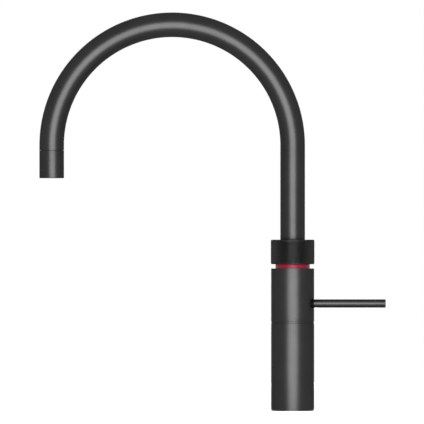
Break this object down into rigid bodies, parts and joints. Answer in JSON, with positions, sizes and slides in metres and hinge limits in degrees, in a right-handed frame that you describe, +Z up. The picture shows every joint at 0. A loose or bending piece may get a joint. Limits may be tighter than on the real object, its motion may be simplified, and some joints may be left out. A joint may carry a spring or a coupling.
{
  "type": "boiling water tap",
  "caption": "Tall mixer tap: a round column with a side lever, a red light band under a knurled push-and-turn ring, a swivelling arch spout, and a clamped shank below.",
  "frame": {"origin": "middle of the column's seat on the worktop, over the middle of the tap hole", "axes": "+Z up along the column, the user stands on the -Y side, +X towards the lever; at rest the spout reaches out over -X"},
  "size_m": [0.3191, 0.052, 0.4432],
  "materials": {
    "satin_black": "satin black coating over metal",
    "knurled_black": "satin black over a fine diamond knurl",
    "red_light": "frosted red light guide",
    "joint_plastic": "moulded black plastic",
    "pale_plastic": "natural moulded plastic",
    "brass": "turned brass",
    "steel": "turned stainless steel",
    "copper": "drawn copper",
    "rubber": "moulded black rubber",
    "ceramic": "lapped white ceramic",
    "board_green": "green circuit board"
  },
  "bodies": {
    "fixed_body": {"base_seal": "rubber", "base_foot": "brass", "mounting_shank": "brass", "worktop_gasket": "rubber", "clamp_plate": "steel", "clamp_nut": "brass", "cold_pipe": "copper", "hot_pipe": "copper", "boiling_pipe": "copper", "cold_inlet": "brass", "hot_inlet": "brass", "boiling_inlet": "brass", "cable_grommet": "rubber", "lower_sleeve": "satin_black", "sleeve_joint_ring": "satin_black", "upper_sleeve": "satin_black", "valve_body": "brass", "neck": "steel", "turn_stop_pin": "steel", "drive_clip": "steel", "led_board": "board_green", "light_ring": "red_light", "cartridge_seal": "rubber", "fixed_disc": "ceramic", "cartridge_housing": "joint_plastic", "cartridge_nut": "brass"},
    "spout": {"spout_stem": "brass", "spout_clip": "steel", "spout_bearing_lower": "pale_plastic", "spout_seal_lower": "rubber", "spout_seal_upper": "rubber", "spout_bearing_upper": "pale_plastic", "spout_tube": "satin_black", "boiling_tube": "pale_plastic", "nozzle_shell": "satin_black", "flow_insert": "joint_plastic", "nozzle_seal": "rubber"},
    "ring_drive": {"drive_sleeve": "joint_plastic", "ring_magnet_right": "steel", "ring_magnet_left": "steel", "ring_spring": "steel"},
    "ring_cap": {"knurled_ring": "knurled_black", "ring_retainer": "joint_plastic"},
    "lever_swing": {"lever_yoke": "steel"},
    "lever": {"lever_stem": "brass", "lever_collar": "rubber", "lever_rod": "satin_black", "lever_set_screw": "steel"},
    "disc_slider": {"disc_carrier": "pale_plastic"},
    "mixing_disc": {"moving_disc": "ceramic"}
  },
  "joints": [
    {"name": "spout_swivel", "type": "hinge", "parent": "fixed_body", "child": "spout", "pos_m": [0, 0, 0.125], "axis": [0, 0, 1], "continuous": true},
    {"name": "ring_turn", "type": "hinge", "parent": "fixed_body", "child": "ring_drive", "pos_m": [0, 0, 0.14], "axis": [0, 0, 1], "range_deg": [0, 90]},
    {"name": "ring_push", "type": "slide", "parent": "ring_drive", "child": "ring_cap", "axis": [0, 0, -1], "range_m": [0, 0.003], "stiffness_N_per_m": 1000, "springref_m": -0.004, "deforming": ["ring_spring"]},
    {"name": "lever_flow", "type": "hinge", "parent": "fixed_body", "child": "lever_swing", "pos_m": [0.0065, 0, 0.0989], "axis": [0, 0, -1], "range_deg": [0, 30]},
    {"name": "lever_temperature", "type": "hinge", "parent": "lever_swing", "child": "lever", "pos_m": [0.0065, 0, 0.0989], "axis": [1, 0, 0], "range_deg": [-45, 45]},
    {"name": "disc_slide", "type": "slide", "parent": "fixed_body", "child": "disc_slider", "axis": [0, 1, 0], "range_m": [0, 0.00324]},
    {"name": "disc_turn", "type": "hinge", "parent": "disc_slider", "child": "mixing_disc", "pos_m": [-0.0026, 0, 0.0989], "axis": [1, 0, 0], "range_deg": [-45, 45]}
  ],
  "couplings": [
    {"joint": "disc_slide", "follows": "lever_flow", "m_per_rad": 0.00617},
    {"joint": "disc_turn", "follows": "lever_temperature", "ratio": 1}
  ]
}
